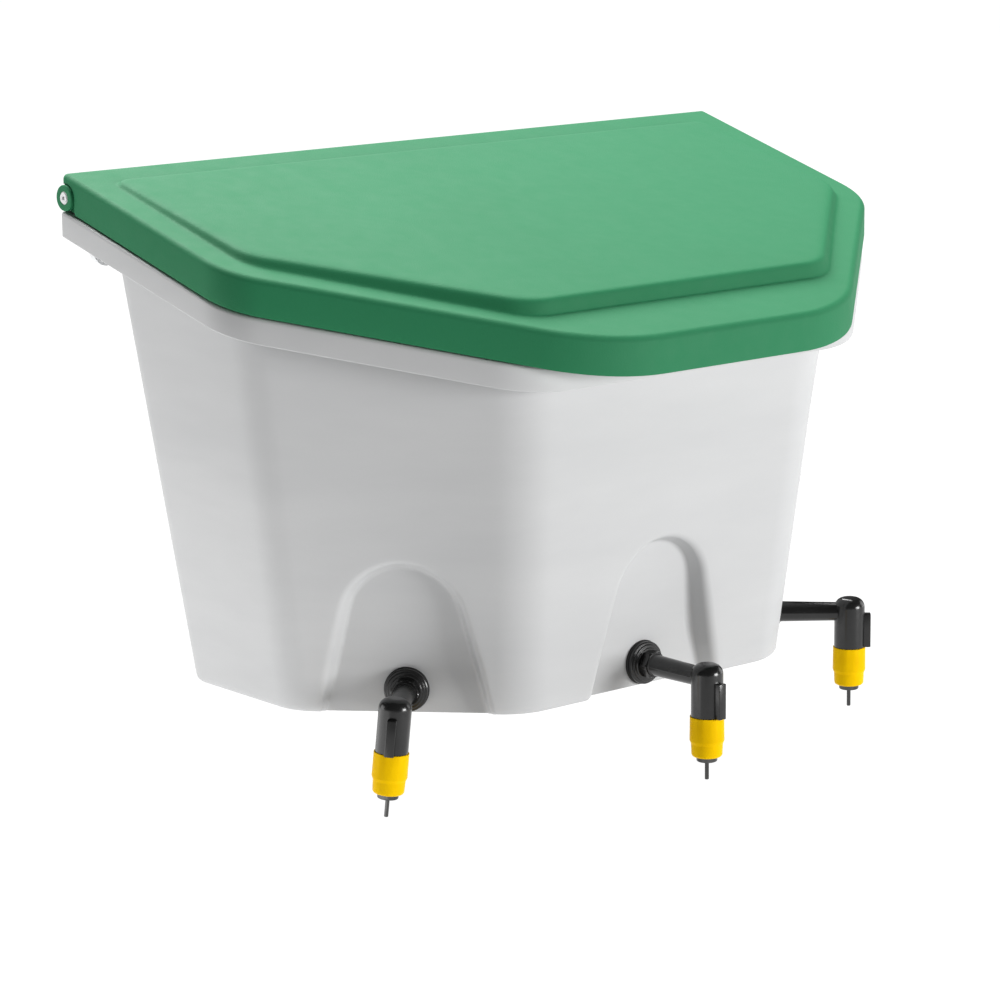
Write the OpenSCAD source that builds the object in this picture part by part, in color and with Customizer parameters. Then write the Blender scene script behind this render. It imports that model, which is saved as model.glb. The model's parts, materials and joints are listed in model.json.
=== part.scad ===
// Wall-hung nipple drinker for poultry: tapered tank, sloping hinged lid and three swivelling nipple arms.
// Millimetres, +Z up. The wall is the plane Y = 0 and the front faces -Y; X runs along the wall.
// The origin is the centre of the wall bracket's hole pattern, on the wall face.

/* [Tank] */
// half width of the rim at the wall side
rim_half_w = 210; // [180:1:240]
// depth of the rim from its rear edge to its front edge
rim_depth = 212.3; // [190:0.1:240]
// height of the rim's lower edge above the tank bottom, at the rear
rim_z = 220; // [190:0.5:250]
// fall of the rim plane towards the front, per mm
rim_fall = 0.293; // [0.15:0.001:0.35]
// height of the rim band
rim_h = 12.1; // [9:0.1:16]
// wall thickness of the tank
tank_wall = 3; // [2:0.1:4]
// height of the splash lip inside the lid
lip_h = 7; // [4:0.1:9]

/* [Lid] */
// height of the lid skirt at the hinge
skirt_h = 15.8; // [12:0.1:20]
// gap between the rim and the skirt
skirt_gap = 1.75; // [0.8:0.05:3]
// lid wall thickness
lid_wall = 2.5; // [2:0.1:3.5]
// how far the lid's front edge stands over the rim as a finger grip
lid_over = 23.4; // [10:0.1:30]
// radius of the lid's rounded upper edge
edge_r = 2.9; // [1.5:0.1:5]

/* [Hinge] */
// hinge axis in front of the rim's rear edge
hinge_in = 2.4; // [2:0.1:4]
// height of the hinge axis above the rim's upper edge
hinge_rise = 6; // [5.5:0.1:8]
// radius of the lid's knuckle
knuckle_r = 6.2; // [5.5:0.1:6.4]
// radius of the hinge pin
hinge_pin_r = 3.1; // [2.5:0.05:3.4]
// groove between the knuckle and the end of the skirt
knuckle_gap = 0.7; // [0.4:0.1:1.2]
// radial clearance of the pin in the knuckle
hinge_clear = 0.05; // [0.03:0.01:0.1]

/* [Nipple arms] */
// height of the arm axis above the tank bottom
arm_z = 11; // [10.5:0.1:13]
// distance from the tank wall to the elbow axis
arm_reach = 45; // [38:0.5:55]
// sideways lean of the left, front and right arm
arm_lean = [5.5, 0, 0];
// radius of the threaded shank
shank_r = 4.6; // [4:0.05:4.8]
// radial clearance of the shank in the wall and its gaskets
shank_clear = 0.05; // [0.03:0.01:0.1]
// outside radius of the elbow
elbow_r = 7.85; // [7:0.05:9]
// outside radius of the nipple cap
cap_r = 8.3; // [7.5:0.05:9.5]
// radius of the trigger pin
trigger_r = 0.9; // [0.7:0.05:1.2]
// radius of the trigger's head, which rocks on its edge and lifts the valve stem
head_r = 3; // [2.6:0.05:3.3]

/* [Wall bracket] */
// distance from the wall to the rim's rear edge
wall_gap = 16; // [15:0.5:24]
// width of the bracket
bracket_w = 300; // [200:5:320]
// sheet thickness of the bracket
sheet_t = 3; // [2:0.1:4]
// hole-to-hole distance along the wall
hole_dx = 220; // [160:5:280]
// hole-to-hole distance up the wall
hole_dz = 24; // [20:1:30]
// radius of the screw holes
hole_r = 2.75; // [2:0.05:3.5]
// radius of the hole in each tie tab
tie_r = 2.6; // [1.6:0.1:4]

/* [Hidden] */
$fn = 64;
seg = 6;
mount_z = 190;
green = [0.14, 0.49, 0.29];
white = [0.84, 0.85, 0.85];
black = [0.06, 0.06, 0.065];
yellow = [0.95, 0.76, 0.02];
steel = [0.72, 0.73, 0.74];
rubber_c = [0.03, 0.03, 0.03];
zinc = [0.62, 0.64, 0.66];

// half outlines of the rim, the tank's top and bottom, the lid, and the foot and face of its raised panel;
// each has a rear, a side and a front corner, placed inside the rim's half width and in front of three
// guide lines: the rim's rear edge, its widest place and its front edge
side_y = -0.585 * rim_depth;
function half(inside, ahead) = [[rim_half_w - inside[0], ahead[0]], [rim_half_w - inside[1],
    side_y + ahead[1]],
    [rim_half_w - inside[2], -rim_depth + ahead[2]]];
rim_o = half([0, 3.7, 107.6], [0, 3.2, 0]);
rim_c = [1.5, 37, 51.5];
top_o = half([6.2, 17.9, 116], [-27.3, 7.9, 13.6]);
top_c = [12, 29, 44];
bot_o = half([54.5, 51.7, 127.7], [-17.5, 23, 30.1]);
bot_c = [12, 27, 31];
lid_o = half([1.4, 3.4, 133.9], [0.9, 2.1, -lid_over]);
lid_c = [3, 36, 84];
foot_o = half([16, 16.8, 110.4], [-16, 8.8, 11.1]);
foot_c = [7, 14, 20];
face_o = half([26.5, 26, 114.4], [-21, 12.1, 15]);
face_c = [3, 20, 20];
skirt_z = rim_z + rim_h + skirt_gap;
lid_z = skirt_z + skirt_h;
lid_fall = rim_fall - 0.006;
pan_fall = lid_fall - 0.0315;
pan_z = lid_z + 0.8;
lip_z = rim_z + rim_h + lip_h;
hinge_z = rim_z + rim_h + hinge_rise;
front_tan = 0.102;
side_tan = 0.1576;
bore_r = shank_r + shank_clear;

// arm seats: [x, y] of the recess floor, yaw, recess depth at the bottom,
// draft of the face, slope of the upper floor
front_deep = 9.2;
side_deep = 5.8;
side_shift = 1.2;
side_mid = ([-bot_o[1][0], bot_o[1][1]] + [-bot_o[2][0], bot_o[2][1]]) / 2;
side_dir = unit([bot_o[1][0] - bot_o[2][0], bot_o[1][1] - bot_o[2][1]]);
side_yaw = atan2(side_dir[1], side_dir[0]);
side_out = [-sin(side_yaw), -cos(side_yaw)];
side_at = side_mid - side_deep * side_out - side_shift * [cos(side_yaw), -sin(side_yaw)];
seats = [
    [side_at, -side_yaw, side_deep, side_tan, 0.234],
    [[0, bot_o[2][1] + front_deep], 0, front_deep, front_tan, 0.197],
    [[-side_at[0], side_at[1]], side_yaw, side_deep, side_tan, 0.234]];

function unit(v) = v / norm(v);
// points of the arc of radius r that rounds corner p between its neighbours a and b
function arc_pts(a, p, b, r, k) =
    let (ua = unit(a - p), ub = unit(b - p), h = acos(ua * ub) / 2,
         c = p + unit(ua + ub) * r / sin(h), s = p + ua * r / tan(h) - c, e = p + ub * r / tan(h) - c,
         a0 = atan2(s[1], s[0]), q = atan2(e[1], e[0]) - a0, d = q > 180 ? q - 360 : q < -180 ? q + 360 : q)
    [for (i = [0:k]) c + r * [cos(a0 + d * i / k), sin(a0 + d * i / k)]];
// closed counter-clockwise loop of six corners from a half outline
function loop6(h) = [[-h[0][0], h[0][1]], [-h[1][0], h[1][1]], [-h[2][0], h[2][1]], h[2], h[1], h[0]];
function inward(a, b) = let (d = unit(b - a)) [-d[1], d[0]];
function inset6(l, t) = [for (i = [0:5])
    let (m = inward(l[(i + 5) % 6], l[i]), n = inward(l[i],
        l[(i + 1) % 6])) l[i] + (m + n) * t / (1 + m * n)];
// ring of rounded outline h, inset by t, on the plane z = z0 + fall * y
function ring(h, c, t, z0, fall) =
    let (l = inset6(loop6(h), t), r = [c[0], c[1], c[2], c[2], c[1], c[0]])
    [for (i = [0:5]) each [for (p = arc_pts(l[(i + 5) % 6], l[i], l[(i + 1) % 6], max(r[i] - t, 0.6), seg))
        [p[0], p[1], z0 + fall * p[1]]]];
// ring of the tank wall at fraction f between its bottom and the rim's lower edge, inset by t
function wall_ring(f, t) = let (a = ring(bot_o, bot_c, t, 0, 0), b = ring(top_o, top_c, t, rim_z, rim_fall))
    [for (i = [0:len(a) - 1]) a[i] + (b[i] - a[i]) * f];
function sides(m, n) = [for (j = [0:m - 2], i = [0:n - 1]) let (k = (i + 1) % n)
    each [[j * n + i, (j + 1) * n + i, (j + 1) * n + k], [j * n + i, (j + 1) * n + k, j * n + k]]];

module loft(r) {
    n = len(r[0]);
    m = len(r);
    polyhedron(points = [for (q = r) each q],
        faces = concat(sides(m, n), [[for (i = [0:n - 1]) i]], [[for (i = [n - 1:-1:0]) (m - 1) * n + i]]));
}

// half outline of a recess arch grown by o, as [u, z] from the right foot over the top to the left foot
arch_r = 26.5;
arch_zc = 46;
arch_b = 13.7;
arch_zk = 34;
function arch_side(z, o) = (arch_r + o + (arch_zc - z) * sin(arch_b)) / cos(arch_b);
function arch_pts(o) = concat([[arch_side(-3, o), -3], [arch_side(arch_zk, o), arch_zk]],
    [for (i = [0:8]) let (a = arch_b + (180 - 2 * arch_b) * i / 8) [(arch_r + o) * cos(a),
        arch_zc + (arch_r + o) * sin(a)]],
    [[-arch_side(arch_zk, o), arch_zk], [-arch_side(-3, o), -3]]);
// recess levels: [growth of the outline, share of the full depth, height over the floor]
function arch_levels(g) = let (f = 3 + g, m = max(3.5 - g, 0.4)) concat(
    [for (a = [0, 35, 65, 90]) [g - f * (1 - sin(a)), 0, -g + f * (1 - cos(a))]],
    [for (b = [0, 30, 60, 90]) [1.5 + g + m * (1 - cos(b)), 1, -g - m + m * sin(b)]],
    [[1.5 + g + m, 1, 12]]);
module arch(s, g) {
    n = 13;
    lv = arch_levels(g);
    m = len(lv);
    pts = [for (l = lv) each [for (p = arch_pts(l[0]))
        let (fl = p[1] > arch_zk ? (p[1] - arch_zk) * s[4] : 0, d = s[2] + s[3] * p[1] - fl)
        [p[0], -(fl + l[1] * d + l[2]), p[1]]]];
    strip = [for (i = [0:5]) each [[i, i + 1, n - 1 - i], [i + 1, n - 2 - i, n - 1 - i]]];
    translate([s[0][0], s[0][1], 0]) rotate([0, 0, s[1]])
        polyhedron(points = pts, faces = concat(sides(m, n),
            [for (t = strip) if (t[0] != t[1] && t[1] != t[2]) t],
            [for (t = strip) if (t[0] != t[1] && t[1] != t[2]) [t[2], t[1], t[0]] + (m - 1) * n * [1, 1,
                1]]));
}

module placed() translate([0, -wall_gap, -mount_z]) children();
module at_seat(i) translate([seats[i][0][0], seats[i][0][1], arm_z]) rotate([0, 0, seats[i][1]]) children();
module at_arm(i) at_seat(i) rotate([0, arm_lean[i], 0]) children();
module along() rotate([90, 0, 0]) children();
module tube(r, a, b) translate([0, 0, a]) cylinder(r = r, h = b - a);
module bar_x(r, a, b) rotate([0, 90, 0]) translate([0, 0, a]) cylinder(r = r, h = b - a);

// ---- tank ----
fil = 4;
function base_rings(t, r, z) = [for (a = [0, 30, 60, 90])
    let (q = wall_ring((z + r * (1 - cos(a))) / rim_z, t + r * (1 - sin(a))))
    a == 0 ? [for (p = q) [p[0], p[1], z]] : q];
module tank_solid() loft(concat(base_rings(0, fil, 0), [
    wall_ring(1, 0),
    ring(top_o, top_c, 0, rim_z + rim_h - tank_wall, rim_fall),
    ring(rim_o, rim_c, tank_wall, rim_z + rim_h - tank_wall, rim_fall),
    ring(rim_o, rim_c, tank_wall, rim_z, rim_fall),
    ring(rim_o, rim_c, 0.6, rim_z, rim_fall),
    ring(rim_o, rim_c, 0, rim_z + 0.6, rim_fall),
    ring(rim_o, rim_c, 0, rim_z + rim_h - 1.8, rim_fall),
    ring(rim_o, rim_c, 0.5, rim_z + rim_h - 0.5, rim_fall),
    ring(rim_o, rim_c, 1.8, rim_z + rim_h, rim_fall),
    ring(top_o, top_c, 0, rim_z + rim_h, rim_fall),
    ring(top_o, top_c, 0, lip_z - 0.8, rim_fall),
    ring(top_o, top_c, 0.8, lip_z, rim_fall)]));
module tank_hollow() loft(concat(base_rings(tank_wall, 2, tank_wall), [
    wall_ring(1, tank_wall),
    ring(top_o, top_c, tank_wall, lip_z - 0.8, rim_fall),
    ring(top_o, top_c, tank_wall - 0.8, lip_z, rim_fall),
    ring(top_o, top_c, tank_wall - 0.8, lip_z + 3, rim_fall)]));
lug_in = 10.3;
lug_x = rim_half_w - lug_in;
lug_w = 7.4;
module hinge_lug() {
    translate([lug_x, -hinge_in, hinge_z]) bar_x(5, -lug_w / 2, lug_w / 2);
    translate([lug_x - lug_w / 2, -hinge_in - 5, rim_z + rim_h - 3]) cube([lug_w, hinge_in + 4.9,
        hinge_z - rim_z - rim_h + 3]);
}
foot_x = 95;
foot_z = 34;
foot_r = 9.5;
foot_root = 14.5;
buffer_h = 6;
buffer_pin = 3;
module rear_foot() translate([foot_x, 0, foot_z]) difference() {
    translate([0, wall_gap - buffer_h, 0]) along() cylinder(r1 = foot_r, r2 = foot_r + 2.5,
        h = wall_gap + foot_root);
    translate([0, wall_gap - buffer_h + 1, 0]) along() cylinder(r = buffer_pin, h = 9);
}
module tank() color(white) placed() difference() {
    union() {
        tank_solid();
        for (s = [0, 1]) mirror([s, 0, 0]) { hinge_lug(); rear_foot(); }
    }
    for (s = seats) arch(s, 0);
    difference() {
        tank_hollow();
        for (s = seats) arch(s, tank_wall);
    }
    for (i = [0:2]) at_seat(i) along() tube(bore_r, -12, 6);
    for (s = [-1, 1]) translate([s * lug_x, -hinge_in, hinge_z]) bar_x(hinge_pin_r, -6, 6);
}

// ---- lid ----
// panel's wall: [share of the way from its foot to the face, share of its height]
pan_wall = [[0, 0], [0.15, 0.07], [0.28, 0.45], [0.43, 0.78], [0.67, 0.95], [1, 1]];
function pan_ring(t, w) = let (a = ring(foot_o, foot_c, t, lid_z - t, lid_fall), b = ring(face_o, face_c,
    t, pan_z - t, pan_fall))
    [for (i = [0:len(a) - 1]) let (p = a[i] + (b[i] - a[i]) * w[0])
        [p[0], p[1], (lid_z + lid_fall * p[1]) * (1 - w[1]) + (pan_z + pan_fall * p[1]) * w[1] - t]];
function lid_rings(t, cut) = let (r = max(edge_r - t, 1)) concat(
    [ring(lid_o, lid_c, t, skirt_z - cut, rim_fall)],
    cut > 0 ? [] : [ring(lid_o, lid_c, t, skirt_z + 0.8, rim_fall)],
    [for (a = [0, 22, 45, 68, 90]) ring(lid_o, lid_c, t + r * (1 - cos(a)), lid_z - t - r * (1 - sin(a)),
        lid_fall)],
    [for (w = pan_wall) pan_ring(t, w)]);
lip_mid = inset6(loop6(top_o), tank_wall / 2);
pad_at = [for (i = [0:4]) (lip_mid[i] + lip_mid[i + 1]) / 2];
// the pads stop a hair above the lip, so that the closed lid rests without biting into it
rest_gap = 0.03;
module rest_pad(p, w = 4) loft([for (z = [[lip_z + rest_gap, rim_fall], [lid_z - 1.5, lid_fall]])
    [for (q = [[-w, -w], [w, -w], [w, w], [-w, w]]) [p[0] + q[0], p[1] + q[1],
        z[0] + z[1] * (p[1] + q[1])]]]);
module lid() color(green) placed() difference() {
    union() {
        difference() {
            loft(lid_rings(0, 0));
            loft(lid_rings(lid_wall, 2));
            for (s = [0, 1]) mirror([s, 0, 0]) translate([0, -hinge_in, hinge_z]) {
                bar_x(knuckle_r + knuckle_gap, rim_half_w - 3.4, rim_half_w + 1);
                translate([rim_half_w - 3.4, -knuckle_r - knuckle_gap, -9]) cube([5,
                    knuckle_r + knuckle_gap, 9]);
            }
        }
        for (s = [0, 1]) mirror([s, 0, 0])
            translate([0, -hinge_in, hinge_z]) bar_x(knuckle_r, rim_half_w - 6, rim_half_w - 0.4);
        for (p = pad_at) rest_pad(p);
    }
    for (s = [0, 1]) mirror([s, 0, 0]) translate([0, -hinge_in, hinge_z]) {
        bar_x(hinge_pin_r + hinge_clear, rim_half_w - 7, rim_half_w + 2);
        bar_x(5.7, lug_x - lug_w / 2 - 0.6, rim_half_w - 6);
        translate([lug_x - lug_w / 2 - 0.6, -1, -8]) cube([rim_half_w - 6 - lug_x + lug_w / 2 + 0.6, 8,
            14]);
    }
}

module hinge_pins() color(white) placed() for (s = [0, 1]) mirror([s, 0, 0])
    translate([0, -hinge_in, hinge_z]) difference() {
        union() {
            bar_x(hinge_pin_r, rim_half_w - 13.4, rim_half_w - 0.6);
            bar_x(hinge_pin_r - 0.5, rim_half_w - 0.7, rim_half_w - 0.1);
        }
        bar_x(0.95, rim_half_w - 3, rim_half_w + 1);
    }

// ---- wall side ----
tongue_y = 4;
shelf_z = rim_z - 6;
plate_z = mount_z - 24;
bend_r = 1;
rib_x = bracket_w / 4;
module wall_bracket() color(zinc) placed() difference() {
    union() {
        translate([bracket_w / 2, 0, 0]) rotate([90, 0, -90]) linear_extrude(bracket_w)
            polygon([[-wall_gap, plate_z], [-wall_gap, shelf_z - bend_r], [-wall_gap + bend_r, shelf_z],
                [tongue_y, shelf_z],
                [tongue_y, rim_z + rim_h - tank_wall - rim_fall * tongue_y], [tongue_y + sheet_t,
                rim_z + rim_h - tank_wall - rim_fall * (tongue_y + sheet_t)], [tongue_y + sheet_t,
                    shelf_z - sheet_t + bend_r],
                [tongue_y + sheet_t - bend_r, shelf_z - sheet_t], [-wall_gap + sheet_t, shelf_z - sheet_t],
                [-wall_gap + sheet_t, plate_z]]);
        for (x = [-rib_x, rib_x]) translate([x + sheet_t / 2, 0, 0]) rotate([90, 0,
            -90]) linear_extrude(sheet_t)
            polygon([[-wall_gap + sheet_t - 0.5, shelf_z - sheet_t + 0.5], [tongue_y - 2,
                shelf_z - sheet_t + 0.5],
                [tongue_y - 2, shelf_z - 2 * sheet_t], [-wall_gap + sheet_t - 0.5, plate_z + 6 * sheet_t]]);
    }
    for (x = [-1, 1], z = [-1, 1]) translate([x * hole_dx / 2, wall_gap + 1,
        mount_z + z * hole_dz / 2]) along()
        cylinder(r = hole_r, h = sheet_t + 2);
}
module wall_buffers() color(rubber_c) placed() for (x = [-foot_x, foot_x]) translate([x, wall_gap,
    foot_z]) along() {
    cylinder(r1 = foot_r - 1.3, r2 = foot_r - 0.3, h = buffer_h);
    translate([0, 0, buffer_h - 0.5]) cylinder(r = buffer_pin, h = 7);
}

tie_w = 15;
tie_in = 20.8;
tie_drop = 7.7;
tie_x = rim_half_w - tie_in;
tie_z = rim_z - tie_drop;
tie_t = 4;
module tie_tabs() color(white) placed() for (x = [-tie_x, tie_x]) translate([x, -tank_wall,
    0]) along() difference() {
    union() {
        translate([0, tie_z]) cylinder(r = tie_w / 2, h = tie_t);
        translate([-tie_w / 2, tie_z, 0]) cube([tie_w,
            rim_z + rim_h - tank_wall - rim_fall * (tank_wall + tie_t) - tie_z - 0.2, tie_t]);
    }
    translate([0, tie_z, -1]) cylinder(r = tie_r, h = tie_t + 2);
}

// ---- nipple arms ----
elbow_end = -18.3;
dome_r = 5;
dome_z = 2.3;
cap_end = -37.9;
gasket_t = 1.5;
gasket_r = 10.75;
seal_t = 1.6;
nut_t = 4;
module washer(r, a, b) along() difference() {
    tube(r, a, b);
    tube(bore_r, a - 1, b + 1);
}
module gaskets_out() color(rubber_c) placed() for (i = [0:2]) at_seat(i) washer(gasket_r, 0, gasket_t);
module gaskets_in() color(rubber_c) placed() for (i = [0:2]) at_seat(i) washer(7.4, -tank_wall - seal_t,
    -tank_wall);
nut_a = -tank_wall - seal_t - nut_t;
module nut(i) color(black) placed() at_arm(i) along() difference() {
    union() {
        translate([0, 0, nut_a]) cylinder(r = 6.4 / cos(30), h = nut_t, $fn = 6);
        tube(7.3, nut_a + nut_t - 0.8, nut_a + nut_t);
    }
    tube(shank_r + 0.02, nut_a - 1, nut_a + nut_t + 1);
    translate([0, 0, nut_a - 0.5]) cylinder(r1 = shank_r + 1, r2 = shank_r, h = 1.02);
}
thread = [for (j = [0:4]) each [[shank_r, nut_a - 2.6 + j * 1.2], [shank_r, nut_a - 2.2 + j * 1.2],
    [shank_r - 0.45, nut_a - 1.9 + j * 1.2], [shank_r - 0.45, nut_a - 1.7 + j * 1.2]]];
module arm(i) color(black) placed() at_arm(i) difference() {
    union() {
        along() rotate_extrude() polygon(concat([[0, nut_a - 3], [shank_r - 0.4, nut_a - 3]], thread,
            [[shank_r, nut_a + 3.6], [shank_r, gasket_t], [10, gasket_t], [10.4, gasket_t + 0.4], [10.4,
                3.1], [9.9, 3.6],
             [9.1, 3.6], [8.9, 3.9], [8.9, 4.2], [8.6, 4.5], [7.5, 4.5], [7.3, 5.1], [0, 5.1]]));
        along() translate([0, 0, 5]) cylinder(r = 6 / cos(30), h = 4.6, $fn = 6);
        along() rotate_extrude() polygon([[0, 9], [5.6, 9], [5.6, 9.6], [5.15, 10.4], [4.6, arm_reach],
            [0, arm_reach]]);
        translate([0, -arm_reach, 0]) rotate_extrude() {
            intersection() {
                translate([elbow_r - dome_r, dome_z]) circle(r = dome_r);
                translate([elbow_r - dome_r, dome_z]) square(dome_r + 1);
            }
            translate([0, elbow_end]) square([elbow_r - dome_r, dome_z + dome_r - elbow_end]);
            translate([0, elbow_end]) square([elbow_r, dome_z - elbow_end]);
            polygon([[0, elbow_end + 1], [6.3, elbow_end + 1], [6.3, -20.9], [5.1, -20.9], [5.1, -22.3],
                [6.3, -22.3],
                [6.3, -25.3], [5.8, -25.8], [0, -25.8]]);
        }
        translate([-2.25, -arm_reach - elbow_r - 1.7, elbow_end]) cube([4.5, 4, -elbow_end + 0.7]);
    }
    along() tube(2.8, nut_a - 4, arm_reach);
    translate([0, -arm_reach, -26]) cylinder(r = 3.4, h = 28);
}
module cap(i) color(yellow) placed() at_arm(i) translate([0, -arm_reach, 0]) difference() {
    union() {
        intersection() {
            rotate_extrude() polygon([[0, elbow_end], [cap_r - 0.25, elbow_end], [cap_r, elbow_end - 0.25],
                [cap_r, -28.5], [cap_r - 0.9, -29.7], [0, -29.7]]);
            rotate([0, 0, 22.5]) translate([0, 0, -30]) cylinder(r = (cap_r - 0.16) / cos(22.5), h = 12,
                $fn = 8);
        }
        rotate_extrude() polygon([[0, -29], [7.55, -29], [7.3, -36.4], [7.05, -37.2], [6.5, -37.75], [6,
            cap_end], [0, cap_end]]);
    }
    tube(6.34, -25.9, elbow_end + 1);
    tube(6.25, -28, -25);
    tube(5.05, cap_end - 1, -27);
}
head_z = -36.5;
tip_z = -49;
stem_r = 1.22;
module seat(i) color(steel) placed() at_arm(i) translate([0, -arm_reach, 0]) difference() {
    rotate_extrude() polygon([[0, -25.8], [6.1, -25.8], [6.1, -28], [5, -28], [5, -39.5], [4.6, -40.2],
        [4.2, -40.3], [0, -40.3]]);
    tube(stem_r + 0.08, -32, -25);
    tube(head_r + 0.6, head_z, -31);
    tube(trigger_r + 1, -41, head_z + 0.5);
    translate([0, 0, -40.31]) cylinder(r1 = trigger_r + 2.1, r2 = trigger_r + 1, h = 1.1);
}
module oring(i) color(rubber_c) placed() at_arm(i) translate([0, -arm_reach, -21.6]) rotate_extrude()
    translate([5.72, 0]) circle(r = 0.62);
module seal(i) color(rubber_c) placed() at_arm(i) translate([0, -arm_reach, 0]) difference() {
    tube(2.9, -25.8, -25);
    tube(1.4, -27, -24);
}
module stem(i) color(steel) placed() at_arm(i) translate([0, -arm_reach, 0]) rotate_extrude()
    polygon([[0, head_z + 1.55], [0.5, head_z + 1.66], [0.9, head_z + 1.95], [stem_r, head_z + 2.77],
        [stem_r, -25],
        [2.4, -25], [2.4, -24.2], [1.5, -23.4], [0, -23.4]]);
module trigger(i) color(steel) placed() at_arm(i) translate([0, -arm_reach, 0]) rotate_extrude()
    polygon([[0, head_z + 1.5], [head_r - 0.4, head_z + 1.5], [head_r, head_z + 1.1], [head_r, head_z],
        [trigger_r, head_z],
        [trigger_r, tip_z + 0.5], [trigger_r - 0.35, tip_z], [0, tip_z]]);

tank();
lid();
hinge_pins();
wall_bracket();
wall_buffers();
tie_tabs();
gaskets_out();
gaskets_in();
arm(0);  // arm_left
arm(1);  // arm_front
arm(2);  // arm_right
nut(0);  // nut_left
nut(1);  // nut_front
nut(2);  // nut_right
cap(0);  // cap_left
cap(1);  // cap_front
cap(2);  // cap_right
seat(0);  // seat_left
seat(1);  // seat_front
seat(2);  // seat_right
oring(0);  // oring_left
oring(1);  // oring_front
oring(2);  // oring_right
seal(0);  // seal_left
seal(1);  // seal_front
seal(2);  // seal_right
stem(0);  // stem_left
stem(1);  // stem_front
stem(2);  // stem_right
trigger(0);  // trigger_left
trigger(1);  // trigger_front
trigger(2);  // trigger_right
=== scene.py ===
import bpy
import bmesh
import json
import math
import numpy as np
from mathutils import Matrix, Vector

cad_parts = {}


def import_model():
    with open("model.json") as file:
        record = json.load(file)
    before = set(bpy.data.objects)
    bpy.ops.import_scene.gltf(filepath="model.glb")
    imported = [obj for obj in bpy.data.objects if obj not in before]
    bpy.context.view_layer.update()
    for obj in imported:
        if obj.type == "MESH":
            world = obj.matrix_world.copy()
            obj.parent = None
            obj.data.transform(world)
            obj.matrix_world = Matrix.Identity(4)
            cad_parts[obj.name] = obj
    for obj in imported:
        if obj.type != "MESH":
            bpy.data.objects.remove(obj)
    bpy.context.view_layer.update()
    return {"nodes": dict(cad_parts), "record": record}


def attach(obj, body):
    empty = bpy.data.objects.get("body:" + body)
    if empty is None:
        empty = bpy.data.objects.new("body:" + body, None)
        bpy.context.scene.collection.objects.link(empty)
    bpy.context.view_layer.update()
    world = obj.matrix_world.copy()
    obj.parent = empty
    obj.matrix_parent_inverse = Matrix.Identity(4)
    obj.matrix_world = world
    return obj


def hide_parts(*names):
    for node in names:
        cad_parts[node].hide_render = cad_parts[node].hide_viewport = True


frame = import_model()

# Lengths are millimetres: X along the wall, Y = 0 at the rim's rear edge, Z = 0 at the tank's underside.
# The shared frame is in metres and starts at the bracket's hole pattern, on the wall's face.
WALL_GAP, MOUNT_Z = 16.0, 190.0


def world(p):
    """points in mm as metres in the shared frame"""
    return (np.asarray(p, float) - [0.0, WALL_GAP, MOUNT_Z]) / 1000.0


def linked(name, data):
    """new object in the scene's collection"""
    ob = bpy.data.objects.new(name, data)
    bpy.context.scene.collection.objects.link(ob)
    return ob


def turn(axis, degrees):
    return Matrix.Rotation(math.radians(degrees), 4, axis)


def shift(x, y, z):
    return Matrix.Translation((x, y, z))


# ------------------------------------------------------------------ camera
# Worked out from the outlines of the rim, the lid and the nipples in the photograph.
CAMERA_AZ, CAMERA_EL, CAMERA_ROLL = -41.097, 11.475, -0.462
CAMERA_AT = (-1220.70, -1469.70, 452.09)
CAMERA_ZOOM = 3.80894           # focal length over the sensor's width
SENSOR = 36.0


def add_camera():
    cam = bpy.data.cameras.new("camera")
    cam.sensor_width = SENSOR
    cam.lens = SENSOR * CAMERA_ZOOM
    cam.clip_start = 0.05
    cam.clip_end = 30.0
    ob = linked("camera", cam)
    aim = turn("Z", CAMERA_AZ) @ turn("X", 90 - CAMERA_EL) @ turn("Z", CAMERA_ROLL)
    ob.matrix_world = shift(*world(CAMERA_AT)) @ aim
    bpy.context.scene.camera = ob


# ------------------------------------------------------------------ meshes
CREASE = 38.0                   # edges that turn by more degrees stay sharp
WELD, FINE_WELD = 2e-3, 1e-4    # closer points are joined
MOST_CORNERS = 8                # faces with more corners are split into triangles
ON_AXIS = 1e-6                  # a lathe's points closer to its axis are one point


def new_object(name, verts, faces, smooth=True, crease=CREASE, weld=WELD, clean=True):
    """object from points in mm, its near points welded; clean turns all faces outwards"""
    me = bpy.data.meshes.new(name)
    me.from_pydata([tuple(v) for v in np.asarray(verts, float)], [], [tuple(f) for f in faces])
    bm = bmesh.new()
    bm.from_mesh(me)
    if weld:
        bmesh.ops.remove_doubles(bm, verts=bm.verts, dist=weld)
        bmesh.ops.dissolve_degenerate(bm, dist=weld * 0.5, edges=bm.edges)
    if clean:
        bmesh.ops.recalc_face_normals(bm, faces=bm.faces)
    bm.to_mesh(me)
    bm.free()
    ob = linked(name, me)
    if smooth:
        shade(ob, crease)
    return ob


def shade(ob, crease=CREASE):
    """smooth faces, with sharp edges where the crease angle is passed"""
    bm = bmesh.new()
    bm.from_mesh(ob.data)
    limit = math.radians(crease)
    for face in bm.faces:
        face.smooth = True
    for edge in bm.edges:
        edge.smooth = len(edge.link_faces) == 2 and edge.calc_face_angle(0.0) < limit
    bm.to_mesh(ob.data)
    bm.free()


def to_world(ob):
    """moves the mesh from mm into the shared frame"""
    me = ob.data
    count = len(me.vertices)
    places = np.empty(count * 3)
    me.vertices.foreach_get("co", places)
    me.vertices.foreach_set("co", world(places.reshape(count, 3)).ravel())
    me.update()


def join(name, parts):
    """one object from several, which are removed"""
    bm = bmesh.new()
    for part in parts:
        bm.from_mesh(part.data)
    me = bpy.data.meshes.new(name)
    bm.to_mesh(me)
    bm.free()
    for part in parts:
        bpy.data.objects.remove(part)
    return linked(name, me)


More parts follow.
